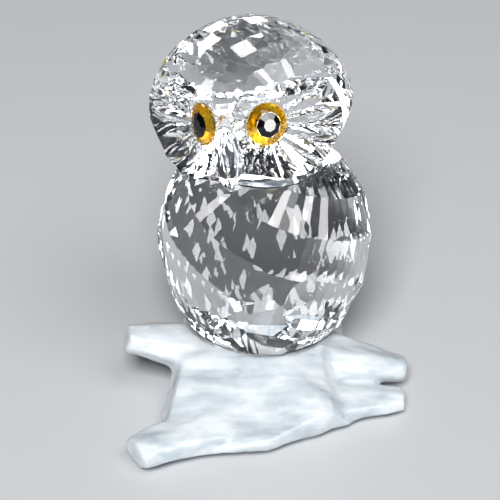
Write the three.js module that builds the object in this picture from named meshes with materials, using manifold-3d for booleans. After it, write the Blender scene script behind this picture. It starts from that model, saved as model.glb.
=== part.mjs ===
// Crystal owl on a frosted branch: a small cut-glass figurine for a shelf.
//
// Clear lead-crystal gems (body, head and beak) are ground with flat facets and bonded to each other
// on their flats. Round amber stones with black centres are set in the face, and the whole bird
// stands in a hollow of a frosted branch. Millimetres, +Z up. The bird looks along -Y, and the
// origin is on the ground face of the branch, under the axis of the body.

import * as THREE from 'three';
import { mergeVertices } from 'three/addons/utils/BufferGeometryUtils.js';
import Module from 'manifold-3d';

const wasm = await Module();
wasm.setup();

// ---------------------------------------------------------------- driving dimensions

const BOND_FILM = 0.2; // clear adhesive between two ground flats
const SETTING_GAP = 0.3; // free gap round a piece that is set in a drilled or ground seat

// Branch
const BRANCH_TOP = 7.9; // height of the branch beside the seat
const BRANCH_BACK = 8.5; // reach behind the body axis
const BRANCH_FRONT = 23.3; // reach in front of the body axis
const BRANCH_HALF_LENGTH = 12.5; // half-length of the trunk of the branch, without its stubs
const GROUND_RELIEF = 1.0; // how far the hewn underside lifts at its rim
const GROUND_INSET = 2.2; // how far in from the rim the ground face starts
const SEAT_DEPTH = 1.5; // how deep the body sits in the branch
const STUB_SIDES = 7;

// Body
const BODY_RADIUS = 13.9;
const BODY_WAIST = 12.4; // height of the widest section above the foot
const BODY_RISE = 13.5; // vertical half-axis above the widest section
const BODY_DROP = 19.0; // vertical half-axis below it
const NECK_RISE = 11.0; // height of the flat that the head stands on, above the widest section
const BODY_COLUMNS = 64; // columns of tall facets round it
const BODY_ROW_PITCH = 25; // latitude from one facet to the next above it, in degrees
const BODY_ROW_LIMIT = 68; // latitude that the middle of a facet stays within
const BODY_TWIST = 6; // facets that the rows drop in one turn, which leans the columns
const BODY_FACET_DEPTH = 0.36;
const WINDOW_HALF_WIDTH = 25; // the polished, uncut window in front, in degrees round the body
const WINDOW_HALF_HEIGHT = 44; // and in degrees of latitude
const WINDOW_MIDDLE = -38; // latitude of its middle
const BODY_SEGMENTS = 96; // strips of the polished turned surface
const BODY_STEPS = 34;

// Head
const HEAD_RADIUS = 12.4; // half of its depth and of its height before it is cut
const HEAD_HALF_WIDTH = 13.1;
const HEAD_SHIFT = -1.7; // sideways place of its centre
const HEAD_CENTRE_ABOVE_NECK = 5.9;
const HEAD_YAW = -15; // turned to its right
const HEAD_PITCH = -10; // looking up
const HEAD_ROLL = -8; // and tilted
const HEAD_RINGS = 20; // rings of brick facets, from the brow to the nape
const HEAD_RING_START = 37; // polar angle of the first ring from the face axis, in degrees
const HEAD_COLUMNS = 26; // bricks in the widest ring
const HEAD_FACET_DEPTH = 0.15;
const HEAD_SEGMENTS = 64; // strips of the turned ball that it is cut from
const HEAD_STEPS = 40;

// Face
const DISC_YAW = 41; // how far each facial disc and eye faces outward
const DISC_PITCH = 6; // and upward
const DISC_RADIUS = 7.6; // radius of the rim of a disc
const DISC_SINK = 1.25; // depth of the disc where the eye sits
const BROW_HEIGHT = 4.3; // height of the brow ledge above the eye
const BROW_SLOPE = 0.25; // how far the ledge leans back for each unit of its height
const CHEEK_TURN = 76; // how far the bevels below a disc face off its axis
const CHEEK_BEVELS = [
  { direction: 0, depth: 1.2 }, // straight down, and how far it takes the rim back
  { direction: 26, depth: 1.0 },
  { direction: 52, depth: 0.6 },
];
const CHIN_LEAN = 30; // how far the bevel below the beak faces forward, in degrees
const CHIN_DEPTH = 0.9; // how far it cuts above the lowest point of the rims
const FLUTES = 17; // petal-shaped flutes round each eye
const FLUTE_DEPTH = 0.75;
const FLUTE_SWELL = 0.8; // below 1, a flute is deepest nearer its outer end
const FLUTE_SAMPLES = 4; // flat strips in one flute
const DISC_STEPS = 6; // rings of strips from the eye to the rim
const EYE_INWARD = 2.05; // how far the eye sits from the middle of its disc, towards the beak
const EYE_LIFT = 0.5; // and how far above it

// Eyes
const STONE_RADIUS = 2.65;
const STONE_CROWN = 0.6;
const STONE_GIRDLE = 0.25;
const STONE_PAVILION = 1.5;
const STONE_TABLE_RING = 0.1; // width of the flat top round the drilled seat of the pupil
const STONE_CULET = 0.9; // radius of the flat back
const STONE_FACETS = 16;
const PUPIL_RADIUS = 1.6;
const PUPIL_HEIGHT = 0.7;
const PUPIL_PROUD = 0.35; // how far the black centre stands above the flat top
const PUPIL_TABLE = 0.55; // radius of its flat top, as a share of its own radius
const PUPIL_GIRDLE = 0.4; // height of its upright side, as a share of its height

// Beak
const BEAK_LENGTH = 8.4;
const BEAK_WIDTH = 3.9;
const BEAK_DEPTH = 3.1;
const BEAK_DROP = 1.6; // how far its middle lies below the centre of the head
const BEAK_FLUTES = 9;
const BEAK_STEPS = 8;
const BEAK_FLUTE_SHARE = 0.84; // radius in a flute of the beak, as a share of its ridge
const BEAK_TOP_HEAVY = 1.1; // above 1, the widest place lies above the middle
const BEAK_FULLNESS = 0.6; // below 1, the beak keeps its width towards its ends
const BEAK_SINK = 0.5; // how far the axis of the beak lies inside the round of the head
const BEAK_FLAT_DEPTH = 1.0; // how far its ground back lies inside that round
const BEAK_FILM = { width: 0.27, length: 0.22, rise: 0.12 }; // shares of the beak's width and length

// Stubs where side twigs were cut off. A root lies at shares of the trunk's half-length, front reach
// and height. A tip stands out past the trunk, at shares of the same front reach and height.
// Sizes are half-width and half-height, and a root's half-height is a share of the trunk's height.
const STUBS = [
  {
    side: -1, root: [0.3, 0.28, 0.5], out: 5.5, tip: [0.34, 0.96],
    rootSize: [6.4, 0.46], tipSize: [2.6, 1.9], roll: 12,
  },
  {
    side: -1, root: [0.1, 0.66, 0.2], out: 3.7, tip: [1.07, 0.27],
    rootSize: [6.2, 0.33], tipSize: [2.9, 1.9], roll: 30,
  },
  {
    side: 1, root: [0.24, 0.3, 0.54], out: 5.8, tip: [0.35, 0.34],
    rootSize: [7.0, 0.44], tipSize: [2.1, 1.5], roll: 8,
  },
  {
    side: 1, root: [0.1, 0.62, 0.22], out: 5.5, tip: [0.58, 0.22],
    rootSize: [5.6, 0.34], tipSize: [2.2, 1.5], roll: 20,
  },
];

// Corners of the trunk seen from above: shares of its half-length, then of its reach in front of the
// body axis (below zero) or behind it
const TRUNK_OUTLINE = [
  [-1, -0.5],
  [-1.13, -0.73],
  [-0.95, -1.07],
  [0, -1],
  [1, -0.74],
  [0.92, -0.2],
  [0.76, 0.6],
  [0.44, 1],
  [-0.52, 1],
  [-0.8, 0.5],
];

// Slopes hewn on the trunk, each through a point
const TRUNK_SLOPES = [
  { at: [0, -0.44 * BRANCH_FRONT, BRANCH_TOP], normal: [-0.02, -0.43, 1] },
  { at: [3.5, -0.52 * BRANCH_FRONT, BRANCH_TOP - 0.8], normal: [0.27, -0.26, 1] },
  { at: [-8, -0.52 * BRANCH_FRONT, BRANCH_TOP - 0.6], normal: [-0.14, 0, 1] },
  { at: [BRANCH_HALF_LENGTH - 2, 0, BRANCH_TOP / 2], normal: [1, -0.1, 0.8] },
  { at: [0.3 - BRANCH_HALF_LENGTH, 0, BRANCH_TOP / 2], normal: [-1, 0, 0.55] },
  { at: [0, BRANCH_BACK / 2, BRANCH_TOP], normal: [0, 0.4, 1] },
];

// ---------------------------------------------------------------- helpers

const radians = THREE.MathUtils.degToRad;
const SEAT_HEIGHT = BRANCH_TOP - SEAT_DEPTH;
const BODY_FOOT = SEAT_HEIGHT + BOND_FILM;
const BODY_MIDDLE = BODY_FOOT + BODY_WAIST;
const NECK_HEIGHT = BODY_MIDDLE + NECK_RISE;
const HEAD_FLAT = NECK_HEIGHT + BOND_FILM;
const HEAD_CENTRE = HEAD_FLAT + HEAD_CENTRE_ABOVE_NECK;
const NECK_RADIUS = BODY_RADIUS * Math.sqrt(1 - (NECK_RISE / BODY_RISE) ** 2);
const HEAD_FLAT_RADIUS = Math.sqrt(HEAD_RADIUS ** 2 - HEAD_CENTRE_ABOVE_NECK ** 2);
const BODY_FOOT_RADIUS = BODY_RADIUS * Math.sqrt(1 - (BODY_WAIST / BODY_DROP) ** 2);
const STONE_TABLE = PUPIL_RADIUS + SETTING_GAP + STONE_TABLE_RING;
const BEAK_FLAT = -HEAD_RADIUS + BEAK_FLAT_DEPTH;
const FILM_SPACE = BOND_FILM + 2 * SETTING_GAP;
const PUPIL_FOOT = STONE_CROWN + PUPIL_PROUD - PUPIL_HEIGHT;

/** A three.js geometry as a manifold solid. */
function solidOf(geometry) {
  const bare = geometry.clone();
  for (const name of Object.keys(bare.attributes)) {
    if (name !== 'position') bare.deleteAttribute(name);
  }
  const merged = mergeVertices(bare, 1e-4);
  const mesh = new wasm.Mesh({
    numProp: 3,
    vertProperties: new Float32Array(merged.attributes.position.array),
    triVerts: new Uint32Array(merged.index.array),
  });
  return new wasm.Manifold(mesh);
}

/** A manifold solid as a three.js geometry with flat-shaded faces. */
function geometryOf(solid) {
  const mesh = solid.getMesh();
  const geometry = new THREE.BufferGeometry();
  geometry.setAttribute('position', new THREE.BufferAttribute(mesh.vertProperties, 3));
  geometry.setIndex(new THREE.BufferAttribute(mesh.triVerts, 1));
  const faceted = geometry.toNonIndexed();
  faceted.computeVertexNormals();
  return faceted;
}

/** Grinds away what lies beyond a plane: normal is the outward direction, at the given distance. */
function grind(solid, normal, distance) {
  const length = Math.hypot(...normal);
  const inward = normal.map((value) => -value / length);
  return solid.trimByPlane(inward, -distance);
}

/** Grinds away what lies beyond a plane through a point. */
function grindAt(solid, point, normal) {
  const length = Math.hypot(...normal);
  const distance = (normal[0] * point[0] + normal[1] * point[1] + normal[2] * point[2]) / length;
  return grind(solid, normal, distance);
}

function named(name, geometry, look) {
  const mesh = new THREE.Mesh(geometry, new THREE.MeshStandardMaterial(look));
  mesh.name = name;
  return mesh;
}

// ---------------------------------------------------------------- looks

const CLEAR_CRYSTAL = { color: 0xe9eef2, roughness: 0.02, metalness: 0 };
const FROSTED_CRYSTAL = { color: 0xdfe6ea, roughness: 0.55, metalness: 0 };
const AMBER_STONE = { color: 0xd9a017, roughness: 0.05, metalness: 0.3 };
const BLACK_STONE = { color: 0x070707, roughness: 0.05, metalness: 0 };
const CLEAR_ADHESIVE = { color: 0xf4f6f7, roughness: 0.15, metalness: 0 };

// ---------------------------------------------------------------- body

/** The egg-shaped blank of the body as a turned profile, grown outward by a margin. */
function bodyBlank(grow = 0) {
  const profile = [];
  for (let step = 0; step <= BODY_STEPS; step += 1) {
    const angle = -Math.PI / 2 + (Math.PI * step) / BODY_STEPS;
    const reach = (Math.sin(angle) < 0 ? BODY_DROP : BODY_RISE) + grow;
    const radius = step % BODY_STEPS === 0 ? 0 : (BODY_RADIUS + grow) * Math.cos(angle);
    profile.push(new THREE.Vector2(radius, BODY_MIDDLE + reach * Math.sin(angle)));
  }
  const blank = new THREE.LatheGeometry(profile, BODY_SEGMENTS);
  blank.rotateX(Math.PI / 2);
  return blank;
}

/** Leaning rows of tall narrow facets, with a polished window left low in front. */
function bodySolid() {
  let solid = solidOf(bodyBlank());
  for (let column = 0; column < BODY_COLUMNS; column += 1) {
    const turn = (360 * column) / BODY_COLUMNS;
    const side = Math.sin(radians(turn));
    const front = -Math.cos(radians(turn));
    const across = Math.min(turn, 360 - turn) / WINDOW_HALF_WIDTH;
    const offset = (-BODY_TWIST * column * BODY_ROW_PITCH) / BODY_COLUMNS;
    const lowest = Math.ceil((-BODY_ROW_LIMIT - offset) / BODY_ROW_PITCH);
    const highest = Math.floor((BODY_ROW_LIMIT - offset) / BODY_ROW_PITCH);
    for (let row = lowest; row <= highest; row += 1) {
      const degrees = offset + row * BODY_ROW_PITCH;
      const along = (degrees - WINDOW_MIDDLE) / WINDOW_HALF_HEIGHT;
      if (across ** 2 + along ** 2 < 1) continue;
      const latitude = radians(degrees);
      const reach = degrees < 0 ? BODY_DROP : BODY_RISE;
      const radius = BODY_RADIUS * Math.cos(latitude);
      const height = BODY_MIDDLE + reach * Math.sin(latitude);
      const out = Math.cos(latitude) / BODY_RADIUS;
      const up = Math.sin(latitude) / reach;
      const length = Math.hypot(out, up);
      const normal = [(side * out) / length, (front * out) / length, up / length];
      const centre = [side * radius, front * radius, height];
      const touch = centre.map((value, axis) => value - normal[axis] * BODY_FACET_DEPTH);
      solid = grindAt(solid, touch, normal);
    }
  }
  solid = grind(solid, [0, 0, 1], NECK_HEIGHT);
  return grind(solid, [0, 0, -1], -BODY_FOOT);
}

// ---------------------------------------------------------------- head

const DISC_PLANE = Math.sqrt(HEAD_RADIUS ** 2 - DISC_RADIUS ** 2);
const SOCKET_RADIUS = STONE_RADIUS + SETTING_GAP;
const SOCKET_DEPTH = STONE_PAVILION + BOND_FILM + 2 * SETTING_GAP;

/** The frame of the right-hand facial disc, in the frame of the head: u outward, v up, w forward. */
function discFrame() {
  const yaw = radians(DISC_YAW);
  const pitch = radians(DISC_PITCH);
  const w = new THREE.Vector3(
    Math.sin(yaw) * Math.cos(pitch),
    -Math.cos(yaw) * Math.cos(pitch),
    Math.sin(pitch),
  );
  const u = new THREE.Vector3(Math.cos(yaw), Math.sin(yaw), 0);
  const v = new THREE.Vector3().crossVectors(w, u);
  return { u, v, w };
}

/** The matrix that stands a shape made along +Z on the right eye, on the plane of its girdle. */
function eyePlace() {
  const { u, v, w } = discFrame();
  const centre = w.clone().multiplyScalar(DISC_PLANE - DISC_SINK);
  centre.addScaledVector(u, -EYE_INWARD).addScaledVector(v, EYE_LIFT);
  return new THREE.Matrix4().makeBasis(u, v, w).setPosition(centre);
}

/** Distance from the eye to the rim of its disc, in a direction round the eye. */
function rimReach(angle) {
  const along = EYE_INWARD * Math.cos(angle) - EYE_LIFT * Math.sin(angle);
  return along + Math.sqrt(along ** 2 - EYE_INWARD ** 2 - EYE_LIFT ** 2 + DISC_RADIUS ** 2);
}

/** What is ground out for a facial disc: a shallow bowl with petal-shaped flutes round the eye. */
function discCutter() {
  const profile = [new THREE.Vector2(0, 0)];
  for (let step = 0; step <= DISC_STEPS; step += 1) profile.push(new THREE.Vector2(1 + step, 0));
  const skirt = DISC_STEPS + 2;
  profile.push(new THREE.Vector2(skirt, 0), new THREE.Vector2(skirt, 1), new THREE.Vector2(0, 1));
  const cutter = new THREE.LatheGeometry(profile, FLUTES * FLUTE_SAMPLES).rotateX(Math.PI / 2);
  const position = cutter.attributes.position;
  for (let index = 0; index < position.count; index += 1) {
    const ring = Math.round(Math.hypot(position.getX(index), position.getY(index)));
    const angle = Math.atan2(position.getY(index), position.getX(index));
    const rim = rimReach(angle);
    const share = THREE.MathUtils.clamp((ring - 1) / DISC_STEPS, 0, 1);
    const across = 2 * Math.abs((((angle / (2 * Math.PI) + 1) * FLUTES) % 1) - 0.5);
    const groove = FLUTE_DEPTH * Math.sin(Math.PI * share ** FLUTE_SWELL) * (1 - across ** 2);
    let radius = SOCKET_RADIUS + (rim - SOCKET_RADIUS) * share;
    let height = DISC_SINK * share - groove;
    if (ring === 0) radius = 0;
    if (ring === skirt) radius = rim + DISC_RADIUS;
    if (ring === skirt) height = DISC_SINK;
    if (position.getZ(index) > 0.5) height = HEAD_RADIUS;
    position.setXYZ(index, radius * Math.cos(angle), radius * Math.sin(angle), height);
  }
  const brow = grind(solidOf(cutter), [0, 1, BROW_SLOPE], BROW_HEIGHT);
  return solidOf(geometryOf(brow).applyMatrix4(eyePlace()));
}

/** The conical seat that is drilled for an eye stone. */
function socketCutter() {
  const profile = [
    new THREE.Vector2(0, -SOCKET_DEPTH),
    new THREE.Vector2(STONE_CULET + SETTING_GAP, -SOCKET_DEPTH),
    new THREE.Vector2(SOCKET_RADIUS, -STONE_GIRDLE / 2 - SETTING_GAP),
    new THREE.Vector2(SOCKET_RADIUS, HEAD_RADIUS / 4),
    new THREE.Vector2(0, HEAD_RADIUS / 4),
  ];
  const cutter = new THREE.LatheGeometry(profile, 2 * STONE_FACETS).rotateX(Math.PI / 2);
  return solidOf(cutter.applyMatrix4(eyePlace()));
}

/** The beak before it is set: a fluted drop with its point down, in the frame of the head. */
function beakBlank(grow = 0) {
  const profile = [];
  for (let step = 0; step <= BEAK_STEPS; step += 1) {
    const share = step / BEAK_STEPS;
    const swell = Math.sin(Math.PI * share ** BEAK_TOP_HEAVY) ** BEAK_FULLNESS;
    const radius = step % BEAK_STEPS === 0 ? 0 : (BEAK_WIDTH / 2) * swell + grow;
    const height = -BEAK_LENGTH / 2 + share * BEAK_LENGTH + (2 * share - 1) * grow;
    profile.push(new THREE.Vector2(radius, height));
  }
  const blank = new THREE.LatheGeometry(profile, BEAK_FLUTES * 2).rotateX(Math.PI / 2);
  const position = blank.attributes.position;
  for (let index = 0; index < position.count; index += 1) {
    const angle = Math.atan2(position.getY(index), position.getX(index));
    const tooth = Math.round((angle / (2 * Math.PI) + 0.25) * BEAK_FLUTES * 2);
    const scale = tooth % 2 === 0 || grow > 0 ? 1 : BEAK_FLUTE_SHARE;
    position.setX(index, position.getX(index) * scale);
    position.setY(index, position.getY(index) * scale * (BEAK_DEPTH / BEAK_WIDTH));
  }
  return blank.translate(0, -HEAD_RADIUS + BEAK_SINK, -BEAK_DROP);
}

/** A gem cut on the axis of the face: rings of staggered bricks from the brow to the nape. */
function headSolid(down) {
  const ball = new THREE.SphereGeometry(HEAD_RADIUS, HEAD_SEGMENTS, HEAD_STEPS);
  let solid = solidOf(ball);
  for (let ring = 0; ring < HEAD_RINGS; ring += 1) {
    const polar = radians(HEAD_RING_START + ((180 - HEAD_RING_START) * ring) / (HEAD_RINGS - 1));
    const bricks = Math.max(1, Math.round(HEAD_COLUMNS * Math.sin(polar)));
    for (let brick = 0; brick < bricks; brick += 1) {
      const turn = (2 * Math.PI * (brick + (ring % 2) / 2)) / bricks;
      const across = Math.sin(polar);
      const normal = [across * Math.sin(turn), -Math.cos(polar), across * Math.cos(turn)];
      solid = grind(solid, normal, HEAD_RADIUS - HEAD_FACET_DEPTH);
    }
  }
  solid = solid.scale([HEAD_HALF_WIDTH / HEAD_RADIUS, 1, 1]);
  const disc = discCutter();
  const socket = socketCutter();
  for (const cutter of [disc, socket, disc.mirror([1, 0, 0]), socket.mirror([1, 0, 0])]) {
    solid = solid.subtract(cutter);
  }
  const { u, v, w } = discFrame();
  const off = radians(CHEEK_TURN);
  const reach = DISC_PLANE * Math.cos(off) + DISC_RADIUS * Math.sin(off);
  for (const { direction, depth } of CHEEK_BEVELS) {
    const bevel = w.clone().multiplyScalar(Math.cos(off));
    bevel.addScaledVector(v, -Math.sin(off) * Math.cos(radians(direction)));
    bevel.addScaledVector(u, Math.sin(off) * Math.sin(radians(direction)));
    solid = grind(solid, bevel.toArray(), reach - depth);
    solid = grind(solid, [-bevel.x, bevel.y, bevel.z], reach - depth);
  }
  const rimFoot = w.clone().multiplyScalar(DISC_PLANE).addScaledVector(v, CHIN_DEPTH - DISC_RADIUS);
  const chin = [0, -Math.sin(radians(CHIN_LEAN)), -Math.cos(radians(CHIN_LEAN))];
  solid = grindAt(solid, rimFoot.toArray(), chin);
  const beakSeat = grindAt(solidOf(beakBlank(SETTING_GAP)), [0, BEAK_FLAT + FILM_SPACE, 0], [0, 1, 0]);
  return grind(solid.subtract(beakSeat), down.toArray(), HEAD_CENTRE_ABOVE_NECK);
}

// ---------------------------------------------------------------- eyes and beak

/** A round stone with a drilled flat top and a flat back, its girdle on the plane z = 0. */
function stoneGeometry() {
  const profile = [
    new THREE.Vector2(0, -STONE_PAVILION),
    new THREE.Vector2(STONE_CULET, -STONE_PAVILION),
    new THREE.Vector2(STONE_RADIUS, -STONE_GIRDLE / 2),
    new THREE.Vector2(STONE_RADIUS, STONE_GIRDLE / 2),
    new THREE.Vector2(STONE_TABLE, STONE_CROWN),
    new THREE.Vector2(PUPIL_RADIUS + SETTING_GAP, STONE_CROWN),
    new THREE.Vector2(PUPIL_RADIUS + SETTING_GAP, PUPIL_FOOT - SETTING_GAP),
    new THREE.Vector2(0, PUPIL_FOOT - SETTING_GAP),
  ];
  return new THREE.LatheGeometry(profile, STONE_FACETS).rotateX(Math.PI / 2);
}

/** The black centre of an eye: a flat-backed stone sunk in the top of the amber one. */
function pupilGeometry() {
  const foot = PUPIL_FOOT;
  const profile = [
    new THREE.Vector2(0, foot),
    new THREE.Vector2(PUPIL_RADIUS, foot),
    new THREE.Vector2(PUPIL_RADIUS, foot + PUPIL_HEIGHT * PUPIL_GIRDLE),
    new THREE.Vector2(PUPIL_RADIUS * PUPIL_TABLE, foot + PUPIL_HEIGHT),
    new THREE.Vector2(0, foot + PUPIL_HEIGHT),
  ];
  return new THREE.LatheGeometry(profile, STONE_FACETS).rotateX(Math.PI / 2);
}

/** A round film of adhesive on the plane z = floor. */
function filmGeometry(radius, floor) {
  const film = new THREE.CylinderGeometry(radius, radius, BOND_FILM, 2 * STONE_FACETS);
  return film.rotateX(Math.PI / 2).translate(0, 0, floor + BOND_FILM / 2);
}

/** Places a shape made on an eye axis in the right or the left eye. */
function inEye(geometry, side) {
  const placed = geometry.applyMatrix4(eyePlace());
  if (side > 0) return placed;
  return geometryOf(solidOf(placed).mirror([1, 0, 0]));
}

// ---------------------------------------------------------------- branch

/** A tapered stub of the branch with flat hewn sides, from its root to its tip. */
function stubSolid({ side, root, out, tip, rootSize, tipSize, roll }) {
  const start = new THREE.Vector3(side * root[0] * BRANCH_HALF_LENGTH, 0, root[2] * BRANCH_TOP);
  start.y = -root[1] * BRANCH_FRONT;
  const end = new THREE.Vector3(side * (BRANCH_HALF_LENGTH + out), 0, tip[1] * BRANCH_TOP);
  end.y = -tip[0] * BRANCH_FRONT;
  const along = end.clone().sub(start);
  const stub = new THREE.CylinderGeometry(1, 1, along.length(), STUB_SIDES);
  const position = stub.attributes.position;
  for (let index = 0; index < position.count; index += 1) {
    const share = position.getY(index) / along.length() + 0.5;
    const width = THREE.MathUtils.lerp(rootSize[0], tipSize[0], share);
    const depth = THREE.MathUtils.lerp(rootSize[1] * BRANCH_TOP, tipSize[1], share);
    const turned = new THREE.Vector2(position.getX(index), position.getZ(index));
    turned.rotateAround(new THREE.Vector2(), radians(roll));
    position.setX(index, turned.x * width);
    position.setZ(index, turned.y * depth);
  }
  const direction = along.clone().normalize();
  const across = new THREE.Vector3(0, 0, 1).cross(direction).normalize();
  const up = new THREE.Vector3().crossVectors(direction, across);
  const basis = new THREE.Matrix4().makeBasis(across, direction, up.negate());
  const middle = start.clone().add(end).multiplyScalar(0.5);
  return solidOf(stub.applyMatrix4(basis.setPosition(middle)));
}

function trunkSolid() {
  const outline = new THREE.Shape(
    TRUNK_OUTLINE.map(([across, along]) => {
      const reach = along < 0 ? BRANCH_FRONT : BRANCH_BACK;
      return new THREE.Vector2(across * BRANCH_HALF_LENGTH, along * reach);
    }),
  );
  const block = new THREE.ExtrudeGeometry(outline, { depth: BRANCH_TOP, bevelEnabled: false });
  let trunk = solidOf(block);
  for (const { at, normal } of TRUNK_SLOPES) trunk = grindAt(trunk, at, normal);
  const corners = outline.getPoints();
  corners.forEach((corner, index) => {
    const edge = corners[(index + 1) % corners.length].clone().sub(corner).normalize();
    const normal = [edge.y * GROUND_RELIEF, -edge.x * GROUND_RELIEF, -GROUND_INSET];
    trunk = grindAt(trunk, [corner.x, corner.y, GROUND_RELIEF], normal);
  });
  return trunk;
}

function branchSolid() {
  let branch = trunkSolid();
  for (const stub of STUBS) branch = branch.add(stubSolid(stub));
  branch = grind(branch, [0, 0, -1], 0);
  const seat = grind(solidOf(bodyBlank(SETTING_GAP)), [0, 0, -1], -SEAT_HEIGHT);
  return branch.subtract(seat);
}

// ---------------------------------------------------------------- assembly

const owl = new THREE.Group();
owl.add(named('branch_base', geometryOf(branchSolid()), FROSTED_CRYSTAL));
owl.add(named('body', geometryOf(bodySolid()), CLEAR_CRYSTAL));
owl.add(named('seat_bond', filmGeometry(BODY_FOOT_RADIUS - SETTING_GAP, SEAT_HEIGHT), CLEAR_ADHESIVE));
const neckFilm = filmGeometry(Math.min(NECK_RADIUS, HEAD_FLAT_RADIUS) - SETTING_GAP, NECK_HEIGHT);
owl.add(named('neck_bond', neckFilm, CLEAR_ADHESIVE));

const head = new THREE.Group();
head.position.set(HEAD_SHIFT, 0, HEAD_CENTRE);
head.rotation.set(radians(HEAD_PITCH), radians(HEAD_ROLL), radians(HEAD_YAW), 'ZXY');
owl.add(head);

const down = new THREE.Vector3(0, 0, -1).applyQuaternion(head.quaternion.clone().invert());
head.add(named('head', geometryOf(headSolid(down)), CLEAR_CRYSTAL));

const beak = grindAt(solidOf(beakBlank()), [0, BEAK_FLAT, 0], [0, 1, 0]);
head.add(named('beak', geometryOf(beak), CLEAR_CRYSTAL));
const beakFilm = filmGeometry(1, 0).rotateX(-Math.PI / 2);
beakFilm.scale(BEAK_WIDTH * BEAK_FILM.width, 1, BEAK_LENGTH * BEAK_FILM.length);
beakFilm.translate(0, BEAK_FLAT + SETTING_GAP, BEAK_LENGTH * BEAK_FILM.rise - BEAK_DROP);
head.add(named('beak_bond', beakFilm, CLEAR_ADHESIVE));

for (const [side, sign] of [['right', 1], ['left', -1]]) {
  head.add(named(`${side}_eye_stone`, inEye(stoneGeometry(), sign), AMBER_STONE));
  head.add(named(`${side}_eye_pupil`, inEye(pupilGeometry(), sign), BLACK_STONE));
  const film = filmGeometry(STONE_CULET, -STONE_PAVILION - SETTING_GAP - BOND_FILM);
  head.add(named(`${side}_eye_bond`, inEye(film, sign), CLEAR_ADHESIVE));
}

export default owl;
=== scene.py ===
"""Crystal owl on a frosted branch: a small cut-glass figurine, built round its CAD frame."""

import math

import bmesh
import bpy
from mathutils import Matrix, Vector


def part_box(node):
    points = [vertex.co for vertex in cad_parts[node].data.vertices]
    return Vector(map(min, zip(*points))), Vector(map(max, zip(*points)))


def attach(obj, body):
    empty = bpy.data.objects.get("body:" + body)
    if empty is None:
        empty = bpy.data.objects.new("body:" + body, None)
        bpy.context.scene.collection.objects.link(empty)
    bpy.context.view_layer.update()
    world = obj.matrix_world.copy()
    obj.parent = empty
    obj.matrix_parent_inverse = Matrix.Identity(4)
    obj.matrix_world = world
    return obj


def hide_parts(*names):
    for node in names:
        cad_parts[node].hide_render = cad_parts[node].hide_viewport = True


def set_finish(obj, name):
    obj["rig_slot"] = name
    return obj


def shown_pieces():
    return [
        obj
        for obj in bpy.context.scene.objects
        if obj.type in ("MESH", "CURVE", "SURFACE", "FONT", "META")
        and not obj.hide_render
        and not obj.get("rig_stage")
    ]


bl_info = {
    "name": "Crystal owl",
    "version": (1, 0, 0),
    "blender": (4, 5, 0),
    "location": "3D View > Sidebar > Crystal owl",
    "description": "Cuts, sets and lights a crystal owl on a frosted branch",
    "category": "Object",
}

MM = 0.001

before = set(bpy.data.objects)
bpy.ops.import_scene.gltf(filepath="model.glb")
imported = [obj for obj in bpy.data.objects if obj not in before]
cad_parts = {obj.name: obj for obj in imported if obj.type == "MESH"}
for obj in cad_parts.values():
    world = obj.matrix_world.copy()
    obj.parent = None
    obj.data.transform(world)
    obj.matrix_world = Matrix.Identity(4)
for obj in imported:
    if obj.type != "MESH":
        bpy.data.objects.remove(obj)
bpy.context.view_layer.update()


# ---------------------------------------------------------------- properties


def length(name, millimetres, description):
    """A length property, kept in metres, with its default given in millimetres."""
    return bpy.props.FloatProperty(
        name=name,
        description=description,
        default=millimetres * MM,
        unit="LENGTH",
        precision=5,
    )


def angle(name, degrees, description):
    """An angle property, kept in radians, with its default given in degrees."""
    return bpy.props.FloatProperty(
        name=name,
        description=description,
        default=math.radians(degrees),
        subtype="ANGLE",
    )


def count(name, number, description):
    """A whole-number property."""
    return bpy.props.IntProperty(name=name, description=description, default=number, min=1)


def tint(name, hexadecimal, description):
    """A colour property, kept as linear light, with its default given as an sRGB hex value."""
    return bpy.props.FloatVectorProperty(
        name=name,
        description=description,
        default=linear(hexadecimal),
        subtype="COLOR",
        size=4,
        min=0.0,
        max=1.0,
    )


def linear(hexadecimal):
    """An sRGB hex value such as #c9a227 as linear RGBA."""
    channels = [int(hexadecimal[start : start + 2], 16) / 255 for start in (1, 3, 5)]
    return [c / 12.92 if c <= 0.04045 else ((c + 0.055) / 1.055) ** 2.4 for c in channels] + [1.0]


class OwlBodySettings(bpy.types.PropertyGroup):
    """The egg-shaped body: a turned blank, ground with leaning rows of tall facets."""

    radius: length("Radius", 13.9, "Radius of the widest section")
    middle: length("Middle", 19.0, "Height of the widest section")
    rise: length("Rise", 13.5, "Vertical half-axis above the widest section")
    drop: length("Drop", 19.0, "Vertical half-axis below the widest section")
    foot: length("Foot", 6.6, "Height of the ground flat that stands on the branch")
    neck: length("Neck", 30.0, "Height of the ground flat that the head stands on")
    columns: count("Columns", 64, "Columns of tall facets round it")
    row_pitch: angle("Row pitch", 25, "Latitude from one facet to the next above it")
    row_limit: angle("Row limit", 68, "Latitude that the middle of a facet stays within")
    twist: count("Twist", 6, "Facets that the rows drop in one turn, which leans the columns")
    facet_depth: length("Facet depth", 0.36, "How deep the middle of a facet is ground")
    window_width: angle("Window width", 25, "Half-angle of the polished window, round the body")
    window_height: angle("Window height", 44, "Half-angle of the window, in latitude")
    window_middle: angle("Window middle", -38, "Latitude of the middle of the window")


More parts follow.
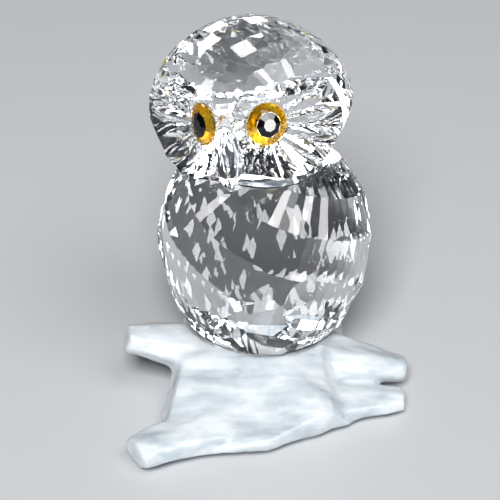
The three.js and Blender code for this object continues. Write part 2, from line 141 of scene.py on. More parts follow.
class OwlHeadSettings(bpy.types.PropertyGroup):
    """The head: a ball ground with rings of bricks, with two fluted facial discs."""

    radius: length("Radius", 12.4, "Half of its depth and of its height before it is cut")
    half_width: length("Half-width", 13.1, "Half of its width before it is cut")
    shift: length("Shift", -1.7, "Sideways place of its centre")
    centre: length("Centre", 36.1, "Height of its centre")
    above_neck: length("Above neck", 5.9, "Height of its centre above its own ground flat")
    yaw: angle("Yaw", -15, "How far it is turned")
    pitch: angle("Pitch", -10, "How far it looks up")
    roll: angle("Roll", -8, "How far it is tilted")
    rings: count("Rings", 20, "Rings of brick facets, from the brow to the nape")
    ring_start: angle("Ring start", 37, "Polar angle of the first ring from the axis of the face")
    columns: count("Columns", 26, "Bricks in the widest ring")
    facet_depth: length("Facet depth", 0.15, "How deep the middle of a brick is ground")
    disc_yaw: angle("Disc yaw", 41, "How far a facial disc faces outward")
    disc_pitch: angle("Disc pitch", 6, "How far a facial disc faces up")
    disc_radius: length("Disc radius", 7.6, "Radius of the rim of a disc")
    disc_sink: length("Disc sink", 1.25, "Depth of a disc where its eye sits")
    brow_height: length("Brow height", 4.3, "Height of the brow ledge above an eye")
    cheek_turn: angle("Cheek turn", 76, "How far the bevels below a disc face off its axis")
    chin_lean: angle("Chin lean", 30, "How far the bevel below the beak faces forward")
    chin_depth: length("Chin depth", 0.9, "How far it cuts above the lowest point of the rims")
    flutes: count("Flutes", 17, "Petal-shaped flutes round each eye")
    flute_depth: length("Flute depth", 0.75, "How deep a flute is ground")
    eye_inward: length("Eye inward", 2.05, "How far an eye sits from the middle of its disc")
    eye_lift: length("Eye lift", 0.5, "How far an eye sits above the middle of its disc")


class OwlStoneSettings(bpy.types.PropertyGroup):
    """The set stones: the amber eyes with their black centres, and the beak."""

    radius: length("Radius", 2.65, "Radius of an amber stone")
    crown: length("Crown", 0.6, "Height of its crown above its girdle")
    pavilion: length("Pavilion", 1.5, "Depth of its foiled back below its girdle")
    girdle: length("Girdle", 0.25, "Height of its upright edge")
    culet: length("Culet", 0.9, "Radius of its flat back")
    facets: count("Facets", 16, "Facets round a stone")
    pupil_radius: length("Pupil radius", 1.6, "Radius of the black centre of an eye")
    pupil_height: length("Pupil height", 0.32, "Height of its dome")
    pupil_facets: count("Pupil facets", 8, "Facets round it")
    beak_length: length("Beak length", 8.4, "Length of the beak")
    beak_width: length("Beak width", 3.9, "Width of the beak over its ridges")
    beak_depth: length("Beak depth", 3.1, "Depth of the beak over its ridges")
    beak_drop: length("Beak drop", 1.6, "How far its middle lies below the centre of the head")
    beak_sink: length("Beak sink", 0.5, "How far its axis lies inside the round of the head")
    beak_flat: length("Beak flat", 1.0, "How far its ground back lies inside that round")
    beak_flutes: count("Beak flutes", 9, "Flutes round the beak")
    setting_gap: length("Setting gap", 0.3, "Free gap round a piece that is set in a seat")
    film: length("Film", 0.2, "Thickness of the adhesive between two ground flats")


class OwlBranchSettings(bpy.types.PropertyGroup):
    """The hewn branch of frosted crystal."""

    cell: length("Cell", 0.3, "Size of the cells that its softened surface is made of")
    grain_depth: length("Grain depth", 0.16, "Depth of the hewn grain along the branch")
    grain_width: length("Grain width", 1.6, "Width of one run of the grain")
    grain_stretch: bpy.props.FloatProperty(
        name="Grain stretch", description="Length of a run over its width", default=5.0
    )
    swell_depth: length("Swell depth", 0.8, "Depth of the broad hollows in the hewn surface")
    swell_width: length("Swell width", 6.0, "Width of one broad hollow")
    swell_stretch: bpy.props.FloatProperty(
        name="Swell stretch", description="Length of a hollow over its width", default=1.6
    )
    etch_passes: count("Etch passes", 16, "Passes of softening by the etch")
    seed: bpy.props.FloatProperty(name="Seed", description="Pattern of the grain", default=3.0)


class OwlColourSettings(bpy.types.PropertyGroup):
    """Colours of the glasses and of the stage."""

    crystal: tint("Crystal", "#fafcff", "Clear lead crystal")
    frost: tint("Frost", "#e4eaee", "Frosted crystal where the etch is thick")
    frost_thin: tint("Thin frost", "#b7c2ca", "Frosted crystal where the etch is thin")
    amber_light: tint("Light amber", "#fff2c0", "Amber glass where it is thin")
    amber_deep: tint("Deep amber", "#f5cd6a", "Amber glass where it is thick")
    foil: tint("Foil", "#efd84a", "Gold foil behind the amber stones")
    black: tint("Black", "#060607", "Black glass of the pupils")
    floor: tint("Floor", "#cdcfd1", "Pale matt table top")


SETTINGS = {
    "owl_body": OwlBodySettings,
    "owl_head": OwlHeadSettings,
    "owl_stones": OwlStoneSettings,
    "owl_branch": OwlBranchSettings,
    "owl_colours": OwlColourSettings,
}


# ---------------------------------------------------------------- shared helpers


def mm(value):
    """A length in metres as millimetres, the unit that the pieces are cut in."""
    return value / MM


def add_node(tree, kind, settings=(), inputs=()):
    """Adds one node: settings are its properties, inputs the values or links of its sockets."""
    node = tree.nodes.new(kind)
    for name, value in dict(settings).items():
        setattr(node, name, value)
    for name, value in dict(inputs).items():
        if isinstance(value, bpy.types.NodeSocket):
            tree.links.new(value, node.inputs[name])
        else:
            node.inputs[name].default_value = value
    return node


def reckon(tree, operation, first, second):
    """The result of one sum on two numbers or sockets."""
    settings = {"operation": operation}
    return add_node(tree, "ShaderNodeMath", settings, {0: first, 1: second}).outputs[0]


def new_tree(name, **kinds):
    """An empty geometry tree that takes named inputs of the given kinds, and those inputs."""
    tree = bpy.data.node_groups.new(name, "GeometryNodeTree")
    tree.is_modifier = True
    for label, kind in kinds.items():
        tree.interface.new_socket(label, in_out="INPUT", socket_type="NodeSocket" + kind)
    tree.interface.new_socket("Geometry", in_out="OUTPUT", socket_type="NodeSocketGeometry")
    return tree, add_node(tree, "NodeGroupInput").outputs


def put_on(piece, tree, values):
    """Puts a geometry tree on a piece, with the values of its named inputs."""
    modifier = piece.modifiers.new(tree.name, "NODES")
    modifier.node_group = tree
    for socket in tree.interface.items_tree:
        if socket.in_out == "INPUT" and socket.name in values:
            modifier[socket.identifier] = values[socket.name]


def new_material(name):
    """An empty node material, and its node tree."""
    material = bpy.data.materials.new(name)
    material.use_nodes = True
    material.node_tree.nodes.clear()
    return material, material.node_tree


def object_of(name, cut, scale=1.0):
    """A bmesh as a new object in the scene, with its place in its mesh."""
    mesh = bpy.data.meshes.new(name)
    cut.to_mesh(mesh)
    cut.free()
    mesh.transform(Matrix.Scale(scale, 4))
    piece = bpy.data.objects.new(name, mesh)
    bpy.context.scene.collection.objects.link(piece)
    return piece


def applied(piece):
    """Turns a piece with modifiers into a plain mesh with none."""
    evaluated = piece.evaluated_get(bpy.context.evaluated_depsgraph_get())
    mesh = bpy.data.meshes.new_from_object(evaluated)
    piece.modifiers.clear()
    piece.data = mesh
    mesh.name = piece.name
    return piece


def crease(piece, degrees):
    """Smooth shading that breaks at edges that turn by more than an angle."""
    cut = bmesh.new()
    cut.from_mesh(piece.data)
    limit = math.radians(degrees)
    for face in cut.faces:
        face.smooth = True
    for edge in cut.edges:
        edge.smooth = edge.is_manifold and edge.calc_face_angle(0.0) < limit
    cut.to_mesh(piece.data)
    cut.free()


def set_piece(piece, slot, materials, *nodes):
    """Puts a finished piece on the figurine in place of its CAD nodes."""
    for material in materials if not piece.data.materials else ():
        piece.data.materials.append(material)
    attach(piece, "root")
    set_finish(piece, slot)
    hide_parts(*nodes)


def skinned(cut, rings, low, high):
    """Joins rings of points into a closed skin, with an end point on the axis at two heights."""
    low, high = cut.verts.new((0, 0, low)), cut.verts.new((0, 0, high))
    sides = len(rings[0])
    for side in range(sides):
        after = (side + 1) % sides
        cut.faces.new((low, rings[0][after], rings[0][side]))
        cut.faces.new((high, rings[-1][side], rings[-1][after]))
        for below, above in zip(rings, rings[1:]):
            cut.faces.new((below[side], below[after], above[after], above[side]))
    return cut


def turned(profile, sides, shape=None):
    """A closed solid turned about Z from (radius, height) points, from its low to its high end."""
    cut = bmesh.new()
    rings = []
    for radius, height in profile[1:-1]:
        ring = []
        for side in range(sides):
            turn = 2 * math.pi * side / sides
            point = Vector((radius * math.cos(turn), radius * math.sin(turn), height))
            ring.append(cut.verts.new(shape(point) if shape else point))
        rings.append(ring)
    return skinned(cut, rings, profile[0][1], profile[-1][1])


def grind(cut, normal, distance):
    """Grinds a flat: takes away what lies beyond distance along normal, and closes the cut."""
    normal = Vector(normal).normalized()
    result = bmesh.ops.bisect_plane(
        cut,
        geom=cut.verts[:] + cut.edges[:] + cut.faces[:],
        dist=1e-5,
        plane_co=normal * distance,
        plane_no=normal,
        clear_outer=True,
    )
    rim = [g for g in result["geom_cut"] if isinstance(g, bmesh.types.BMEdge)]
    if rim:
        bmesh.ops.contextual_create(cut, geom=rim)


def grind_at(cut, point, normal):
    """Grinds a flat through a point."""
    normal = Vector(normal).normalized()
    grind(cut, normal, normal.dot(Vector(point)))


def drilled(piece, cutters):
    """Takes the cutters' shapes out of a piece, and throws the cutters away."""
    for cutter in cutters:
        modifier = piece.modifiers.new("Cut", "BOOLEAN")
        modifier.operation = "DIFFERENCE"
        modifier.solver = "EXACT"
        modifier.object = cutter
    applied(piece)
    for cutter in cutters:
        bpy.data.objects.remove(cutter)


def head_frame(head):
    """The matrix that places the head, in millimetres."""
    turn = Matrix.Rotation(head.yaw, 4, "Z")
    turn = turn @ Matrix.Rotation(head.pitch, 4, "X") @ Matrix.Rotation(head.roll, 4, "Y")
    return Matrix.Translation((mm(head.shift), 0, mm(head.centre))) @ turn


def disc_axes(head):
    """Outward, up and forward for the facial disc on the +X side, in the frame of the head."""
    forward = Vector(
        (
            math.sin(head.disc_yaw) * math.cos(head.disc_pitch),
            -math.cos(head.disc_yaw) * math.cos(head.disc_pitch),
            math.sin(head.disc_pitch),
        )
    )
    outward = Vector((math.cos(head.disc_yaw), math.sin(head.disc_yaw), 0))
    return outward, forward.cross(outward), forward


def disc_plane(head):
    """Distance from the centre of the head to the rim of a disc, along the axis of the disc."""
    return math.sqrt(mm(head.radius) ** 2 - mm(head.disc_radius) ** 2)


def eye_frame(head):
    """The matrix that stands a shape made along +Z on the eye on the +X side."""
    outward, up, forward = disc_axes(head)
    centre = forward * (disc_plane(head) - mm(head.disc_sink))
    centre += up * mm(head.eye_lift) - outward * mm(head.eye_inward)
    place = Matrix((outward, up, forward)).transposed().to_4x4()
    place.translation = centre
    return place


MIRROR = Matrix.Scale(-1, 4, (1, 0, 0))


# ---------------------------------------------------------------- materials


def noise(tree, size, detail, stretch=None, **more):
    """Noise over a piece, with features of a size in millimetres, as a value round a half."""
    place = add_node(tree, "ShaderNodeTexCoord").outputs["Object"]
    if stretch:
        drawn = add_node(tree, "ShaderNodeMapping", inputs={"Vector": place, "Scale": stretch})
        place = drawn.outputs["Vector"]
    inputs = {"Vector": place, "Scale": 1 / (size * MM), "Detail": detail, **more}
    return add_node(tree, "ShaderNodeTexNoise", inputs=inputs).outputs["Fac"]


def between(tree, value, low, high):
    """A value from 0 to 1, brought between two others."""
    inputs = {"Value": value, "To Min": low, "To Max": high}
    return add_node(tree, "ShaderNodeMapRange", inputs=inputs).outputs["Result"]


def ramp(tree, value, low, high):
    """A colour for a value, from a low to a high stop, each a place and a colour."""
    node = add_node(tree, "ShaderNodeValToRGB", inputs={"Fac": value})
    for element, (place, colour) in zip(node.color_ramp.elements, (low, high)):
        element.position, element.color = place, colour
    return node.outputs["Color"]


def bump(tree, height, strength, depth):
    """A shading normal from a height, with its depth in millimetres."""
    inputs = {"Height": height, "Strength": strength, "Distance": depth * MM}
    return add_node(tree, "ShaderNodeBump", inputs=inputs).outputs["Normal"]


def surface(tree, inputs):
    """The shader of a material, by the names of its sockets."""
    shader = add_node(tree, "ShaderNodeBsdfPrincipled", inputs=inputs)
    add_node(tree, "ShaderNodeOutputMaterial", inputs={"Surface": shader.outputs["BSDF"]})


def crystal_material(colours):
    """Lead crystal, cut on an iron wheel and polished with cerium: bends light strongly and keeps
    only the faintest waviness on its flats."""
    material, tree = new_material("Polished lead crystal")
    waves = noise(tree, 2.0, detail=2.0)  # polishing waves
    looks = {
        "Base Color": colours.crystal,
        "Roughness": between(tree, waves, 0.0, 0.02),
        "IOR": 1.56,
        "Transmission Weight": 1.0,
        "Normal": bump(tree, waves, strength=0.02, depth=0.1),
    }
    surface(tree, looks)
    return material


def frosted_material(colours):
    """Crystal hewn in long strokes and etched with acid: a satin skin that glows from inside,
    whiter where the etch is thick."""
    material, tree = new_material("Etched frosted crystal")
    # clouded strokes, drawn out along the branch
    strokes = noise(tree, 2.5, detail=4.0, stretch=(0.4, 1.0, 1.0), Roughness=0.55, Distortion=0.2)
    pits = noise(tree, 0.25, detail=3.0)  # etch pits
    height = add_node(
        tree,
        "ShaderNodeMix",
        settings={"data_type": "FLOAT"},
        inputs={"Factor": 0.15, "A": strokes, "B": pits},
    ).outputs["Result"]
    looks = {
        "Base Color": ramp(tree, strokes, (0.3, colours.frost_thin), (0.62, colours.frost)),
        "Roughness": between(tree, strokes, 0.2, 0.42),
        "IOR": 1.52,
        "Subsurface Weight": 0.7,
        "Subsurface Radius": (1.0, 1.0, 1.0),
        "Subsurface Scale": 1.5 * MM,
        "Coat Weight": 0.5,
        "Coat Roughness": 0.2,
        "Normal": bump(tree, height, strength=0.35, depth=0.3),
    }
    surface(tree, looks)
    return material


def amber_material(colours):
    """Amber lead glass, moulded and fire-polished: clear yellow where it is thin, browner in its
    streaks."""
    material, tree = new_material("Amber glass stone")
    streaks = noise(tree, 1.2, detail=2.0)  # streaks in the melt
    looks = {
        "Base Color": ramp(tree, streaks, (0.4, colours.amber_deep), (0.58, colours.amber_light)),
        "Roughness": 0.02,
        "IOR": 1.6,
        "Transmission Weight": 1.0,
    }
    surface(tree, looks)
    return material


def foil_material(colours):
    """Gold-coloured mirror foil, fired on the back of a stone: throws the light back through it."""
    material, tree = new_material("Gold foil backing")
    crackle = noise(tree, 0.5, detail=2.0)  # fine crackle of the foil
    looks = {
        "Base Color": colours.foil,
        "Metallic": 1.0,
        "Roughness": between(tree, crackle, 0.12, 0.4),
    }
    surface(tree, looks)
    return material


def black_material(colours):
    """Black glass, moulded and fire-polished: no depth, only a sharp gloss."""
    material, tree = new_material("Black glass stone")
    peel = noise(tree, 0.8, detail=1.0)  # faint orange peel
    looks = {
        "Base Color": colours.black,
        "Roughness": between(tree, peel, 0.02, 0.08),
        "IOR": 1.45,
    }
    surface(tree, looks)
    return material


def adhesive_material(colours):
    """Clear optical adhesive, cured between two flats: clear, with a slight haze."""
    material, tree = new_material("Clear cured adhesive")
    flow = noise(tree, 1.0, detail=1.0)  # flow marks
    looks = {
        "Base Color": colours.crystal,
        "Roughness": between(tree, flow, 0.02, 0.1),
        "IOR": 1.5,
        "Transmission Weight": 1.0,
    }
    surface(tree, looks)
    return material


def floor_material(colours):
    """Matt lacquered board: pale and even, with a barely visible mottle."""
    material, tree = new_material("Matt lacquered board")
    mottle = noise(tree, 8.0, detail=2.0)
    surface(tree, {"Base Color": colours.floor, "Roughness": between(tree, mottle, 0.35, 0.45)})
    return material


def shared_material(maker, colours):
    """A material of its own maker, made once and shared by the pieces that have it."""
    made = bpy.context.scene.get("owl_" + maker.__name__)
    if made is None:
        made = maker(colours)
        bpy.context.scene["owl_" + maker.__name__] = made
    return made


# ---------------------------------------------------------------- body and head

# Fineness of the turned blanks and of the wheels
BLANK_STEPS = 72
BODY_STRIPS = 192
HEAD_STRIPS = 160
DRILL_STRIPS = 64
FLUTE_STEPS, FLUTE_STRIPS = 18, 12
BEAK_STEPS, BEAK_STRIPS = 28, 10

BROW_SLOPE = 0.25  # how far a brow ledge drops for each unit that it comes forward
FLUTE_SWELL = 0.8  # below 1, a flute is deepest nearer the eye
BEAK_TOP_HEAVY = 1.1  # above 1, the widest place of the beak lies above its middle
BEAK_FULLNESS = 0.6  # below 1, the beak keeps its width towards its ends
BEAK_GROOVE = 0.16  # depth of a flute of the beak, as a share of its radius
# bevels below a disc: direction from straight down in degrees, and depth in millimetres
CHEEK_BEVELS = ((0, 1.2), (26, 1.0), (52, 0.6))


def cut_body(body):
    """The body: leaning rows of tall narrow facets, and a polished window low in front."""
    profile = []
    for step in range(BLANK_STEPS + 1):
        latitude = -math.pi / 2 + math.pi * step / BLANK_STEPS
        reach = mm(body.drop if latitude < 0 else body.rise)
        radius = mm(body.radius) * math.cos(latitude)
        profile.append((radius, mm(body.middle) + reach * math.sin(latitude)))
    cut = turned(profile, BODY_STRIPS)
    grind(cut, (0, 0, 1), mm(body.neck))
    grind(cut, (0, 0, -1), -mm(body.foot))
    for column in range(body.columns):
        turn = 2 * math.pi * column / body.columns
        side, front = math.sin(turn), -math.cos(turn)
        across = min(turn, 2 * math.pi - turn) / body.window_width
        offset = -body.twist * column * body.row_pitch / body.columns
        lowest = math.ceil((-body.row_limit - offset) / body.row_pitch)
        highest = math.floor((body.row_limit - offset) / body.row_pitch)
        for row in range(lowest, highest + 1):
            latitude = offset + row * body.row_pitch
            if across**2 + ((latitude - body.window_middle) / body.window_height) ** 2 < 1:
                continue
            reach = mm(body.drop if latitude < 0 else body.rise)
            slope = Vector((math.cos(latitude) / mm(body.radius), math.sin(latitude) / reach))
            slope.normalize()
            normal = Vector((side * slope.x, front * slope.x, slope.y))
            radius = mm(body.radius) * math.cos(latitude)
            height = mm(body.middle) + reach * math.sin(latitude)
            centre = Vector((side * radius, front * radius, height))
            grind_at(cut, centre - normal * mm(body.facet_depth), normal)
    return cut


def rim_reach(head, turn):
    """Distance from the eye to the rim of its disc, in a direction round the eye."""
    inward, lift = mm(head.eye_inward), mm(head.eye_lift)
    along = inward * math.cos(turn) - lift * math.sin(turn)
    return along + math.sqrt(along**2 - inward**2 - lift**2 + mm(head.disc_radius) ** 2)


def disc_wheel(head, stones):
    """What a fluting wheel takes out for a facial disc: a shallow bowl, petals round the eye."""
    socket = mm(stones.radius + stones.setting_gap)
    sides = head.flutes * FLUTE_STRIPS
    cut = bmesh.new()
    rings = []
    for step in range(FLUTE_STEPS + 2):
        ring = []
        for side in range(sides):
            turn = 2 * math.pi * side / sides
            share = min(step / FLUTE_STEPS, 1.0)
            rim = rim_reach(head, turn)
            across = 2 * abs((turn / (2 * math.pi) * head.flutes) % 1 - 0.5)
            swell = math.sin(math.pi * share**FLUTE_SWELL)
            groove = mm(head.flute_depth) * swell * (1 - across**2)
            radius = socket + (rim - socket) * share
            height = mm(head.disc_sink) * share - groove
            if step > FLUTE_STEPS:
                radius, height = rim + mm(head.disc_radius), mm(head.disc_sink)
            ring.append(cut.verts.new((radius * math.cos(turn), radius * math.sin(turn), height)))
        rings.append(ring)
    top = mm(head.radius)
    rings.append([cut.verts.new((v.co.x, v.co.y, top)) for v in rings[-1]])
    skinned(cut, rings, 0, top)
    grind(cut, (0, 1, BROW_SLOPE), mm(head.brow_height))
    return cut


def socket_drill(head, stones):
    """The conical drill for the seat of an eye stone."""
    gap = mm(stones.setting_gap)
    depth = mm(stones.pavilion + stones.film) + 2 * gap
    wide = mm(stones.radius) + gap
    shank = mm(head.radius) / 4  # well clear of the disc
    profile = [
        (0, -depth),
        (mm(stones.culet) + gap, -depth),
        (wide, -mm(stones.girdle) / 2 - gap),
        (wide, shank),
        (0, shank),
    ]
    return turned(profile, DRILL_STRIPS)


def beak_blank(head, stones, grow=0.0):
    """The beak before it is set: a drop with its point down and flutes along it."""
    half_width = mm(stones.beak_width) / 2
    half_length = mm(stones.beak_length) / 2
    profile = []
    for step in range(BEAK_STEPS + 1):
        share = step / BEAK_STEPS
        radius = 0
        if 0 < step < BEAK_STEPS:
            swell = math.sin(math.pi * share**BEAK_TOP_HEAVY) ** BEAK_FULLNESS
            radius = half_width * swell + grow
        profile.append((radius, (2 * share - 1) * (half_length + grow)))

    def fluted(point):
        """Sinks the flutes between ridges, one of which lies in front."""
        turn = math.atan2(point.y, point.x) / (2 * math.pi) + 0.25
        across = abs((turn * stones.beak_flutes) % 1 - 0.5) * 2
        narrow = 1.0 if grow else 1 - BEAK_GROOVE * (1 - across**2)
        flat = stones.beak_depth / stones.beak_width
        return Vector((point.x * narrow, point.y * narrow * flat, point.z))

    cut = turned(profile, stones.beak_flutes * BEAK_STRIPS, fluted)
    place = (0, mm(stones.beak_sink - head.radius), -mm(stones.beak_drop))
    bmesh.ops.translate(cut, verts=cut.verts, vec=place)
    return cut


def cut_head(head, stones):
    """The head: a ball of bricks with two fluted discs, seats for the eyes and one for the beak."""
    radius = mm(head.radius)
    profile = []
    for step in range(BLANK_STEPS + 1):
        latitude = -math.pi / 2 + math.pi * step / BLANK_STEPS
        profile.append((radius * math.cos(latitude), radius * math.sin(latitude)))
    cut = turned(profile, HEAD_STRIPS)
    for ring in range(head.rings):
        polar = head.ring_start + (math.pi - head.ring_start) * ring / (head.rings - 1)
        bricks = max(1, round(head.columns * math.sin(polar)))
        for brick in range(bricks):
            turn = 2 * math.pi * (brick + (ring % 2) / 2) / bricks
            across = math.sin(polar)
            normal = (across * math.sin(turn), -math.cos(polar), across * math.cos(turn))
            grind(cut, normal, radius - mm(head.facet_depth))
    bmesh.ops.scale(cut, verts=cut.verts, vec=(head.half_width / head.radius, 1, 1))
    outward, up, forward = disc_axes(head)
    ahead, aside = math.cos(head.cheek_turn), math.sin(head.cheek_turn)
    reach = disc_plane(head) * ahead + mm(head.disc_radius) * aside
    for direction, depth in CHEEK_BEVELS:
        bevel = forward * ahead
        bevel -= up * aside * math.cos(math.radians(direction))
        bevel += outward * aside * math.sin(math.radians(direction))
        grind(cut, bevel, reach - depth)
        grind(cut, (-bevel.x, bevel.y, bevel.z), reach - depth)
    rim_foot = forward * disc_plane(head) + up * mm(head.chin_depth - head.disc_radius)
    grind_at(cut, rim_foot, (0, -math.sin(head.chin_lean), -math.cos(head.chin_lean)))
    down = head_frame(head).to_3x3().transposed() @ Vector((0, 0, -1))
    grind(cut, down, mm(head.above_neck))
    piece = object_of("faceted_head", cut)

    cutters = []
    for maker in (disc_wheel, socket_drill):
        for side in (Matrix.Identity(4), MIRROR):
            wheel = maker(head, stones)
            bmesh.ops.transform(wheel, matrix=side @ eye_frame(head), verts=wheel.verts)
            bmesh.ops.recalc_face_normals(wheel, faces=wheel.faces)
            cutters.append(object_of("Wheel", wheel))
    seat = beak_blank(head, stones, mm(stones.setting_gap))
    film_space = mm(stones.film + 2 * stones.setting_gap)
    grind_at(seat, (0, mm(stones.beak_flat) - radius + film_space, 0), (0, 1, 0))
    cutters.append(object_of("Wheel", seat))
    drilled(piece, cutters)
    piece.data.transform(Matrix.Scale(MM, 4) @ head_frame(head))
    return piece


# ---------------------------------------------------------------- turned stones and films


def turned_stone_tree():
    """Geometry nodes for a round stone or film: bands stacked from its back to its table."""
    sizes = ("Radius", "Girdle", "Crown", "Table radius", "Pavilion", "Culet radius")
    kinds = {"Facets": "Int", **dict.fromkeys(sizes, "Float")}
    kinds |= {"Front material": "Material", "Back material": "Material"}
    tree, given = new_tree("Turned stone", **kinds)

    def band(low_radius, high_radius, height, base):
        """One turned band that stands on a height."""
        cone = add_node(
            tree,
            "GeometryNodeMeshCone",
            settings={"fill_type": "NONE"},
            inputs={
                "Vertices": given["Facets"],
                "Radius Top": high_radius,
                "Radius Bottom": low_radius,
                "Depth": height,
            },
        )
        lift = add_node(tree, "ShaderNodeCombineXYZ", inputs={"Z": base})
        raised = add_node(
            tree,
            "GeometryNodeTransform",
            inputs={"Geometry": cone.outputs["Mesh"], "Translation": lift.outputs["Vector"]},
        )
        return raised.outputs["Geometry"]

    half = reckon(tree, "MULTIPLY", given["Girdle"], 0.5)
    low = reckon(tree, "MULTIPLY", half, -1.0)
    back = reckon(tree, "MULTIPLY", given["Pavilion"], -1.0)
    back_height = reckon(tree, "SUBTRACT", given["Pavilion"], half)
    crown_height = reckon(tree, "SUBTRACT", given["Crown"], half)
    joined = add_node(tree, "GeometryNodeJoinGeometry")
    bands = [
        band(0.0, given["Culet radius"], 0.0, back),
        band(given["Culet radius"], given["Radius"], back_height, back),
        band(given["Radius"], given["Radius"], given["Girdle"], low),
        band(given["Radius"], given["Table radius"], crown_height, half),
        band(given["Table radius"], 0.0, 0.0, given["Crown"]),
    ]
    for part in bands:
        tree.links.new(part, joined.inputs["Geometry"])
    merged = add_node(
        tree,
        "GeometryNodeMergeByDistance",
        inputs={"Geometry": joined.outputs["Geometry"], "Distance": 0.001},
    )
    real = add_node(
        tree, "GeometryNodeRealizeInstances", inputs={"Geometry": merged.outputs["Geometry"]}
    )
    fronted = add_node(
        tree,
        "GeometryNodeSetMaterial",
        inputs={"Geometry": real.outputs["Geometry"], "Material": given["Front material"]},
    )
    place = add_node(tree, "GeometryNodeInputPosition").outputs["Position"]
    height = add_node(tree, "ShaderNodeSeparateXYZ", inputs={"Vector": place}).outputs["Z"]
    behind = add_node(
        tree,
        "FunctionNodeCompare",
        settings={"data_type": "FLOAT", "operation": "LESS_THAN"},
        inputs={0: height, 1: low},
    )
    backed = add_node(
        tree,
        "GeometryNodeSetMaterial",
        inputs={
            "Geometry": fronted.outputs["Geometry"],
            "Selection": behind.outputs["Result"],
            "Material": given["Back material"],
        },
    )
    add_node(tree, "NodeGroupOutput", inputs={"Geometry": backed.outputs["Geometry"]})
    return tree


def turned_stone(name, place, materials, **sizes):
    """A round stone or film, in millimetres on its own axis and then placed by a matrix."""
    piece = object_of(name, bmesh.new())
    tree = bpy.data.node_groups.get("Turned stone") or turned_stone_tree()
    sizes["Front material"], sizes["Back material"] = materials[0], materials[-1]
    put_on(piece, tree, sizes)
    applied(piece)
    piece.data.transform(Matrix.Scale(MM, 4) @ place)
    crease(piece, degrees=5)
    return piece


FILM_CLEARANCE = 0.01  # between a film and each flat that it joins, in millimetres
FILM_STRIPS = 64
BEAK_FILM = {"width": 0.27, "length": 0.22, "rise": 0.12}  # shares of the beak's width and length


def film(name, place, radius, thickness, material):
    """A round film of adhesive on the plane z = 0 of a matrix, just clear of its two flats."""
    half = thickness / 2 - FILM_CLEARANCE
    middle = place @ Matrix.Translation((0, 0, thickness / 2))
    sizes = {
        "Facets": FILM_STRIPS,
        "Radius": radius,
        "Girdle": 2 * half,
        "Crown": half,
        "Table radius": radius,
        "Pavilion": half,
        "Culet radius": radius,
    }
    return turned_stone(name, middle, [material], **sizes)


# ---------------------------------------------------------------- branch


def hewn_grain_tree():
    """Geometry nodes that sink long shallow strokes into a surface, along X."""
    sizes = dict.fromkeys(("Depth", "Width", "Stretch", "Seed"), "Float")
    tree, given = new_tree("Hewn grain", Geometry="Geometry", **sizes, Material="Material")
    place = add_node(tree, "GeometryNodeInputPosition").outputs["Position"]
    across = reckon(tree, "DIVIDE", 1.0, given["Width"])
    along = reckon(tree, "DIVIDE", across, given["Stretch"])
    drawn = add_node(
        tree, "ShaderNodeCombineXYZ", inputs={"X": along, "Y": across, "Z": across}
    ).outputs["Vector"]
    spread = add_node(
        tree,
        "ShaderNodeVectorMath",
        settings={"operation": "MULTIPLY"},
        inputs={0: place, 1: drawn},
    ).outputs["Vector"]
    grain = {"Vector": spread, "W": given["Seed"], "Scale": 1.0, "Detail": 3.0, "Roughness": 0.5}
    strokes = add_node(tree, "ShaderNodeTexNoise", {"noise_dimensions": "4D"}, grain)
    # three quarters of the strokes' height lies below the surface
    reach = {"From Min": 0.25, "From Max": 0.7, "To Min": -0.75, "To Max": 0.25}
    sunk = add_node(
        tree, "ShaderNodeMapRange", inputs={"Value": strokes.outputs["Fac"], **reach}
    )
    depth = reckon(tree, "MULTIPLY", sunk.outputs["Result"], given["Depth"])
    offset = add_node(
        tree,
        "ShaderNodeVectorMath",
        settings={"operation": "SCALE"},
        inputs={0: add_node(tree, "GeometryNodeInputNormal").outputs["Normal"], "Scale": depth},
    ).outputs["Vector"]
    moved = add_node(
        tree,
        "GeometryNodeSetPosition",
        inputs={"Geometry": given["Geometry"], "Offset": offset},
    ).outputs["Geometry"]
    real = add_node(tree, "GeometryNodeRealizeInstances", inputs={"Geometry": moved})
    painted = add_node(
        tree,
        "GeometryNodeSetMaterial",
        inputs={"Geometry": real.outputs["Geometry"], "Material": given["Material"]},
    )
    add_node(tree, "NodeGroupOutput", inputs={"Geometry": painted.outputs["Geometry"]})
    return tree


def hewn_branch(branch, material):
    """The branch: its hewn block, softened by the etch, with the grain of the strokes along it."""
    cut = bmesh.new()
    cut.from_mesh(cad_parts["branch_base"].data)
    bmesh.ops.remove_doubles(cut, verts=cut.verts, dist=1e-6)
    piece = object_of("hewn_branch", cut)
    cells = piece.modifiers.new("Cells", "REMESH")
    cells.mode = "VOXEL"
    cells.voxel_size = branch.cell
    cells.use_smooth_shade = True
    soft = piece.modifiers.new("Etch", "SMOOTH")
    soft.factor = 0.5
    soft.iterations = branch.etch_passes
    tree = hewn_grain_tree()
    for depth, width, stretch in (
        (branch.swell_depth, branch.swell_width, branch.swell_stretch),
        (branch.grain_depth, branch.grain_width, branch.grain_stretch),
    ):
        sizes = {
            "Depth": depth,
            "Width": width,
            "Stretch": stretch,
            "Seed": branch.seed,
            "Material": material,
        }
        put_on(piece, tree, sizes)
    applied(piece)
    # the lowest places are ground flat, on the plane that it stands on
    for vertex in piece.data.vertices:
        vertex.co.z = max(vertex.co.z, 0.0)
    return piece


# ---------------------------------------------------------------- stage

TABLE_RADIUS = 1.0  # metres
TABLE_SIDES = 96
CAMERA_AIM = Vector((-1.94, 0, 15.7)) * MM
CAMERA_ELEVATION = math.radians(34)
CAMERA_DISTANCE = 0.2846  # metres
CAMERA_LENS = 158.4  # millimetres
CAMERA_CLIP = 0.01  # metres
STUDIO_DARK = (0.02, 0.022, 0.026, 1)

